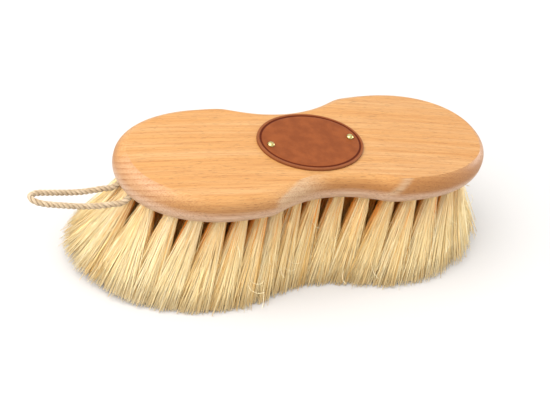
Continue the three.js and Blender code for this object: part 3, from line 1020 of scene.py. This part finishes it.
def back_mesh():
    soft = np.array([back_ring(*spot) for spot in soft_edge])
    crisp = np.array([back_ring(*spot) for spot in crisp_edge])
    along, across = soft[..., :1], soft[..., 1:2]
    share = smooth_step(along, *CRISP_START) * smooth_step(along, *CRISP_STOP)
    rings = soft + (crisp - soft) * (share * smooth_step(across, *CRISP_SIDE))
    levels, count, _ = rings.shape
    faces = ring_walls(levels, count)
    for first, flip in ((0, -1), ((levels - 1) * count, 1)):
        for i in range(count // 2):
            strip = [i, i + 1, count - i - 1, (count - i) % count]
            strip = [first + corner for corner in dict.fromkeys(strip)]
            faces.append(strip[::flip])
    return rings.reshape(-1, 3), faces


back_points, back_faces = back_mesh()
print("back mesh:", len(back_points), "points,", len(back_faces), "faces")

# %% [markdown]
# Beech shows fine lines along the board. A picture of wood would have to be unwrapped onto the back and
# would not meet at its edges, so the grain is a pattern in space that the surface cuts through. The growth
# rings are nearly flat sheets that slope through the board, so one slanted coordinate draws their lines on
# the top, the edge and the ends alike, and a slow drift across the board lets them run a little askew.
# Noise stretched along the grain adds the streaks, and shorter noise the small dark flecks that beech is
# known by.

# %% Beech grain
RING_SPACING = 2.5
RING_SLOPE = math.radians(52)
RING_WARP = 1.1  # in ring spacings
GRAIN_TURN = 0.16  # sideways drift of the grain for each mm along the board
GRAIN_CURVE = 0.0005


def beech_grain(start, x, y, z):
    """The lines of the growth rings, and the wood's streaks, bands and flecks."""
    drift = y + x * (GRAIN_TURN + x * GRAIN_CURVE)
    place = start.node("CombineXYZ", None, {0: x * MM, 1: drift * MM, 2: z * MM})
    warp = noise(stretched(place, 170, 30, 30), 1)
    slope = drift * math.cos(RING_SLOPE) + z * math.sin(RING_SLOPE)
    ring = start.node("Math", {"operation": "FRACT"}, {0: slope / RING_SPACING + warp * RING_WARP})
    rings = ring**3 * (0.45 + rising(noise(stretched(place, 40, 3, 3)), 0.35, 0.7) * 0.55)
    streak = rising(noise(stretched(place, 26, 0.4, 0.4), 3, 0.6), 0.4, 0.68)
    band = rising(noise(stretched(place, 150, 6, 6)), 0.35, 0.68)
    fleck = rising(noise(stretched(place, 3.4, 0.3, 0.4), 1), 0.6, 0.68)
    return rings, streak, band, fleck


print("growth rings:", RING_SPACING, "mm apart, at", round(math.degrees(RING_SLOPE)), "degrees")

# %% [markdown]
# The edge of the back differs from its top. The walls carry painted shade, deeper towards the far lobe.
# The end at the cord is paler, partly from its end grain and partly as painted light, and the lower round
# is paler with painted light from the floor. The corners between the scoops and the lobes carry painted
# highlights in slanting wedges, which on the cord's side run on over part of the waist wall. The direction
# that the surface faces tells walls, ends and lower round apart, and the place along and up the board
# bounds the wedges.

# %% Painted corner highlights
CORD_HIGHLIGHT_SLANT = 5.6  # mm along the board for each mm of height
CORD_HIGHLIGHT_HEIGHT = 58.7  # where the next limits hold; lower down they lie nearer to the cord
CORD_HIGHLIGHT_LIMIT = (-36, -26)
CORD_HIGHLIGHT_START = (-36, -31)
CORD_HIGHLIGHT_STOP = (-22, 2)
CORD_HIGHLIGHT_RISE = (51, 57)  # heights between which the painted highlight grows
FAR_HIGHLIGHT_SLANT = 1.1
FAR_HIGHLIGHT_HEIGHT = 53
FAR_HIGHLIGHT_START = (25, 29.5)
FAR_HIGHLIGHT_STOP = (30, 34.5)


# painted highlights in slanting wedges at the corners between the scoops and the lobes
def corner_highlights(x, z):
    cord_slant = x - (z - CORD_HIGHLIGHT_HEIGHT) * CORD_HIGHLIGHT_SLANT
    cord_corner = rising(cord_slant, *CORD_HIGHLIGHT_LIMIT) * rising(x, *CORD_HIGHLIGHT_START)
    cord_corner = cord_corner * (1 - rising(x, *CORD_HIGHLIGHT_STOP)) * (0.55 + rising(z, *CORD_HIGHLIGHT_RISE) * 0.45)
    far_slant = x - (z - FAR_HIGHLIGHT_HEIGHT) * FAR_HIGHLIGHT_SLANT
    far_corner = rising(far_slant, *FAR_HIGHLIGHT_START) * (1 - rising(far_slant, *FAR_HIGHLIGHT_STOP))
    return cord_corner + far_corner * 0.75


print("highlighted corners from", CORD_HIGHLIGHT_START[0], "and from", FAR_HIGHLIGHT_START[0], "mm along the board")

# %% [markdown]
# The finish lays these marks over each other, from the plain wood to the painted light on the lower round,
# and draws the grain on top. A thin satin coat and a very shallow bump along the streaks finish it.


# %% Beech finish
def beech_finish():
    finish, start = start_finish("satin varnished beech")
    x, y, z = [part / MM for part in parts(start.node("TexCoord", None, None, "Object"))]
    out, _, up = parts(start.node("NewGeometry", None, None, "Normal"))
    rings, streak, band, fleck = beech_grain(start, x, y, z)
    edge = 1 - rising(up, 0.95, 0.985)
    endwise = out * out / (1.0001 - up * up)  # a little over 1, so that the flat top divides by more than 0
    # the end at the cord: partly its paler end grain, partly painted light, fading towards the far end and
    # side
    end = rising(endwise, 0.2, 0.6) * edge * (1 - rising(x, 0, 60) * 0.6) * (1 - rising(y, -2, 10))
    # painted shade on the walls, picked out by the way the surface faces
    side = 1 - rising(up - rising(x, *CRISP_START) * 0.22, 0.25, 0.9)
    # painted light from the floor on the lower round
    floor_light = 1 - rising(up, -0.16, 0.14)
    wood = mixed(band, shade(186, 135, 77), shade(189, 144, 92))
    # the walls' painted shade, deeper towards the far lobe
    wall = mixed(rising(x, -30, 20), shade(161, 112, 62), shade(150, 97, 46))
    wood = mixed(side * 0.8, wood, wall)
    wood = mixed(end, wood, shade(181, 139, 99))
    # painted highlights on the corners between the scoops and the lobes
    wood = mixed(corner_highlights(x, z) * edge * 0.9, wood, shade(185, 155, 120))
    wood = mixed(floor_light * 0.85, wood, shade(196, 164, 137))
    # grain lines on the walls darker, as painted shade
    dark = mixed(side * 0.6, shade(152, 92, 38), shade(125, 78, 45))
    lines = rings * (0.3 + side * 0.12 + end * 0.4) * (1 - floor_light * 0.4)
    colour = mixed(lines + streak * 0.4, wood, dark)
    colour = times(1 - fleck * 0.28, colour)
    normal = bumped(streak + fleck * 0.5, 0.03, 0.3)
    sockets = {"Base Color": colour, "Roughness": 0.48 + streak * 0.1, "Normal": normal}
    close_finish(start, sockets | {"Specular IOR Level": 0.3, "Coat Weight": 0.12, "Coat Roughness": 0.3})
    return finish


beech = beech_finish()
print("beech finish ready")

# %% [markdown]
# The underside is drilled: a blind hole for each tuft, and two bores for the cord's ends. A cut for each
# hole would be slow, so all the drills are one mesh of cylinders, and a single Boolean takes them out of
# the back.

# %% Drill the back
HOLE_DEPTH = 9
HOLE_SIDES = 28
DRILL_START = 3  # below the underside
BORE_CLEARANCE = 0.3
BACK_SHARP_ANGLE = 9


def drill_set(drills):
    """One mesh of cylinders; each drill is x, y, low, high, radius."""
    lines = np.array([[(x, y, low), (x, y, high)] for x, y, low, high, _ in drills], float)
    radii = np.array([[radius, radius] for *_, radius in drills])
    aside = np.broadcast_to((1.0, 0.0, 0.0), lines.shape)
    return tubes(lines, radii, HOLE_SIDES, aside)


def drilled_back():
    back = new_piece("beech_back", back_points, back_faces, beech, "beech")
    below = UNDERSIDE - DRILL_START
    bore_top = end_high.z + BORE_CLEARANCE
    bore_radius = CORD_DIAMETER / 2 + BORE_CLEARANCE
    drills = [(cord_x, side * cord_y, below, bore_top, bore_radius) for side in (-1, 1)]
    for tufts in tuft_rows.values():
        drills += [(*root, below, UNDERSIDE + HOLE_DEPTH, HOLE_RADIUS) for root, *_ in tufts]
    cutter = new_piece("drills", *drill_set(drills), beech, "beech")
    cut = back.modifiers.new("drilled", "BOOLEAN")
    cut.operation = "DIFFERENCE"
    cut.solver = "EXACT"
    cut.object = cutter
    ready = back.evaluated_get(bpy.context.evaluated_depsgraph_get())
    drilled = bpy.data.meshes.new_from_object(ready)
    back.modifiers.clear()
    back.data = drilled
    bpy.data.objects.remove(cutter)
    drilled.set_sharp_from_angle(angle=math.radians(BACK_SHARP_ANGLE))
    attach(back, "back")
    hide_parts("wooden_back")
    return back, len(drills)


back_piece, hole_count = drilled_back()
print("drilled", hole_count, "holes; the back has", len(back_piece.data.polygons), "faces")

# %% [markdown]
# ## The badge
# The badge is an oval of smooth brown leather with a line tooled near its edge. The rim outside that line
# is lighter, and the line itself is burnished dark. A line that is only painted would catch no light, so
# rings drawn in from the edge give the round rim, the groove and a flat field. Each point keeps its
# distance from the edge, which tells the finish where the line is.

# %% Badge solid
badge_low, badge_high = [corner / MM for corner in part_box("leather_badge")]
BADGE_THICKNESS = badge_high.z - badge_low.z
BADGE_SIDES = 144
LOWER_BEVEL = (0.1, 0.15)  # inwards and upwards
RIM_ROUND = 0.45
RIM_TURNS = (1.57, 1.1, 0.6, 0.2)  # radians away from straight up, over the rim's round
LINE_INSET = 1.2
LINE_WIDTH = 1.2
LINE_END = LINE_INSET + LINE_WIDTH
LINE_DEPTH = 0.4
LINE_STEPS = 6
OUTER_LIP = (0.3, 0.08)  # how the leather sinks towards the line: across, and down
INNER_LIP = (0.35, 0.06)
FIELD_RINGS = 12


def badge_profile():
    """Insets and heights from the lower edge up over the rim and through the line."""
    top = BADGE_THICKNESS
    profile = [(LOWER_BEVEL[0], 0), (0, LOWER_BEVEL[1])]
    for turn in RIM_TURNS:
        profile.append((RIM_ROUND * (1 - math.sin(turn)), top - RIM_ROUND * (1 - math.cos(turn))))
    profile += [(LINE_INSET - OUTER_LIP[0], top), (LINE_INSET, top - OUTER_LIP[1])]
    for step in range(1, LINE_STEPS):
        share = step / LINE_STEPS
        profile.append((LINE_INSET + LINE_WIDTH * share, top - LINE_DEPTH * math.sin(math.pi * share)))
    return profile + [(LINE_END, top - INNER_LIP[1]), (LINE_END + INNER_LIP[0], top)]


def badge_mesh():
    half = (badge_high - badge_low) / 2
    oval = circle(BADGE_SIDES)
    profile = badge_profile()
    rings = [level_ring(oval * (half.x - inset, half.y - inset), height) for inset, height in profile]
    insets = [inset for inset, _ in profile]
    field_from = insets[-1]
    for step in range(1, FIELD_RINGS):
        share = 1 - step / FIELD_RINGS
        flat = oval * (half.x - field_from, half.y - field_from) * share
        rings.append(level_ring(flat, BADGE_THICKNESS))
        insets.append(field_from + half.y * (1 - share))
    points = np.concatenate(rings) + (0, 0, badge_low.z)
    return points, closed_rings(len(rings), BADGE_SIDES), np.repeat(insets, BADGE_SIDES)


badge_points, badge_faces, badge_insets = badge_mesh()
print("badge:", len(badge_points), "points")

# %% [markdown]
# Leather is mottled, with a fine pebbled grain. The pins pull it down slightly, so the field dips round
# each of them.

# %% Badge finish
PIN_DIMPLE = 0.18
PIN_DIMPLE_REACH = 3.2
BADGE_SHARP_ANGLE = 50
BURNISH_SPILL = 0.1  # how far the dark of the line spills over its edge
BURNISH_FADE = 0.25  # how far inside the line it is whole
RIM_FADE = 0.5
pin_boxes = [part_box(f"badge_pin_{side}") for side in ("left", "right")]
pin_places = [(low + high) / 2 / MM for low, high in pin_boxes]


def dimpled(points, insets):
    points = points.copy()
    for pin in pin_places:
        away = np.hypot(points[:, 0] - pin.x, points[:, 1] - pin.y)
        dip = PIN_DIMPLE * np.exp(-((away / PIN_DIMPLE_REACH) ** 2))
        points[:, 2] -= np.where(insets > LINE_END, dip, 0)
    return points


def leather_finish():
    finish, start = start_finish("brown leather")
    place = start.node("TexCoord", None, None, "Object")
    inset = stored(start, "edge_distance")
    mottle = noise(stretched(place, 7, 7, 7), 4, 0.6)
    fine = noise(stretched(place, 0.7, 0.7, 0.7), 3, 0.6)
    pebble_place = stretched(place, 0.55, 0.55, 0.55)
    pebble = start.node("TexVoronoi", {"feature": "F1"}, {"Vector": pebble_place, "Scale": 1})
    brown = mixed(rising(mottle, 0.35, 0.68), shade(114, 55, 19), shade(128, 65, 26))
    rim = 1 - rising(inset, LINE_INSET - RIM_FADE, LINE_INSET)
    colour = mixed(rim * 0.6, brown, shade(124, 74, 42))
    line = rising(inset, LINE_INSET - BURNISH_SPILL, LINE_INSET + BURNISH_FADE)
    line = line * (1 - rising(inset, LINE_END - BURNISH_FADE, LINE_END + BURNISH_SPILL))
    colour = mixed(line * 0.92, colour, shade(74, 22, 2))
    colour = times(0.86 + fine * 0.28, colour)
    normal = bumped(pebble * -0.6 + fine * 0.5, 0.06, 0.6)
    sockets = {"Base Color": colour, "Roughness": 0.5 + fine * 0.2 + line * 0.3, "Normal": normal}
    close_finish(start, sockets | {"Specular IOR Level": 0.16})
    return finish


field = dimpled(badge_points, badge_insets)
badge = new_piece("leather_oval", field, badge_faces, leather_finish(), "leather", BADGE_SHARP_ANGLE)
add_values(badge, "edge_distance", badge_insets)
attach(badge, "back")
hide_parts("leather_badge")
print("badge faces:", len(badge.data.polygons))

# %% [markdown]
# ## The pins
# Two brass pins with domed heads hold the badge. A ball pressed into the leather would show no rim, so the
# outline of a whole pin is spun about its axis: the point, the shank, a small flat under the head, and the
# dome.

# %% Pins
PIN_SIDES = 40
PIN_POINT_RADIUS = 0.02
PIN_POINT_LENGTH = 1.2
PIN_SHANK_RADIUS = 0.6
PIN_SHANK_LENGTH = 11
PIN_HEAD_RADIUS = 1.85
PIN_HEAD_HEIGHT = 1.5
PIN_HEAD_BEVEL = (0.08, 0.06)  # inwards and upwards
PIN_SHARP_ANGLE = 60
DOME_STEPS = 10


def pin_profile():
    profile = [(PIN_POINT_RADIUS, -PIN_SHANK_LENGTH)]
    profile.append((PIN_SHANK_RADIUS, -PIN_SHANK_LENGTH + PIN_POINT_LENGTH))
    profile += [(PIN_SHANK_RADIUS, 0), (PIN_HEAD_RADIUS - PIN_HEAD_BEVEL[0], 0)]
    for step in range(DOME_STEPS):
        angle = math.pi / 2 * step / DOME_STEPS
        height = PIN_HEAD_BEVEL[1] + PIN_HEAD_HEIGHT * math.sin(angle)
        profile.append((PIN_HEAD_RADIUS * math.cos(angle), height))
    return profile


def brass_finish():
    finish, start = start_finish("polished brass")
    place = start.node("TexCoord", None, None, "Object")
    tarnish = noise(stretched(place, 0.8, 0.8, 0.8), 3, 0.6)
    colour = mixed(rising(tarnish, 0.4, 0.7), shade(204, 190, 130), shade(146, 128, 68))
    close_finish(start, {"Base Color": colour, "Metallic": 1, "Roughness": 0.16 + tarnish * 0.2})
    return finish


def make_pin(side, place, finish):
    rings = [level_ring(circle(PIN_SIDES) * radius, height) for radius, height in pin_profile()]
    points = np.concatenate(rings) + (place.x, place.y, badge_high.z - PIN_DIMPLE)
    faces = closed_rings(len(rings), PIN_SIDES)
    pin = new_piece(f"brass_pin_{side}", points, faces, finish, "brass", PIN_SHARP_ANGLE)
    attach(pin, "back")
    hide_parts(f"badge_pin_{side}")
    return pin


brass = brass_finish()
for side, place in zip(("left", "right"), pin_places):
    pin = make_pin(side, place, brass)
    print(pin.name, "faces:", len(pin.data.polygons))

# %% [markdown]
# ## Floor and light
# The photograph has a white ground and a large soft light from above, on the cord's side. A pale floor, a
# white surround and one large lamp there give the same soft shadows and the pale gloss on the edges that
# face the cord. A small low lamp at the other end lifts the fibres and the wood on that side.

# %% Floor
FLOOR_HALF = 3  # metres


def make_floor():
    corners = [(x * FLOOR_HALF, y * FLOOR_HALF, 0) for x, y in ((-1, -1), (1, -1), (1, 1), (-1, 1))]
    mesh = bpy.data.meshes.new("pale_floor")
    mesh.from_pydata(corners, [], [(0, 1, 2, 3)])
    finish, start = start_finish("pale floor")
    close_finish(start, {"Base Color": (0.57, 0.555, 0.54, 1), "Roughness": 0.9, "Specular IOR Level": 0.1})
    mesh.materials.append(finish)
    floor = bpy.data.objects.new("pale_floor", mesh)
    bpy.context.scene.collection.objects.link(floor)


make_floor()
print("floor laid,", 2 * FLOOR_HALF, "m across")


# %% Light
def soft_lamp(name, place, aim, size, watts):
    lamp = bpy.data.lights.new(name, "AREA")
    lamp.shape = "DISK"
    lamp.size = size
    lamp.energy = watts
    holder = bpy.data.objects.new(name, lamp)
    holder.location = place
    holder.rotation_euler = (Vector(aim) - Vector(place)).to_track_quat("-Z", "Y").to_euler()
    bpy.context.scene.collection.objects.link(holder)


def white_surround(strength):
    world = bpy.data.worlds.new("white surround")
    world.use_nodes = True
    world.node_tree.nodes["Background"].inputs["Color"].default_value = (1, 1, 1, 1)
    world.node_tree.nodes["Background"].inputs["Strength"].default_value = strength
    bpy.context.scene.world = world


soft_lamp("overhead_lamp", place=(-0.85, -0.15, 1.15), aim=(0, 0, 0.03), size=1.6, watts=29)
soft_lamp("side_lamp", place=(1.2, 0.05, 0.16), aim=(0, 0, 0.05), size=0.5, watts=6)
white_surround(strength=1.15)
bpy.context.scene.view_settings.view_transform = "Standard"
print("two soft lamps and a white surround")
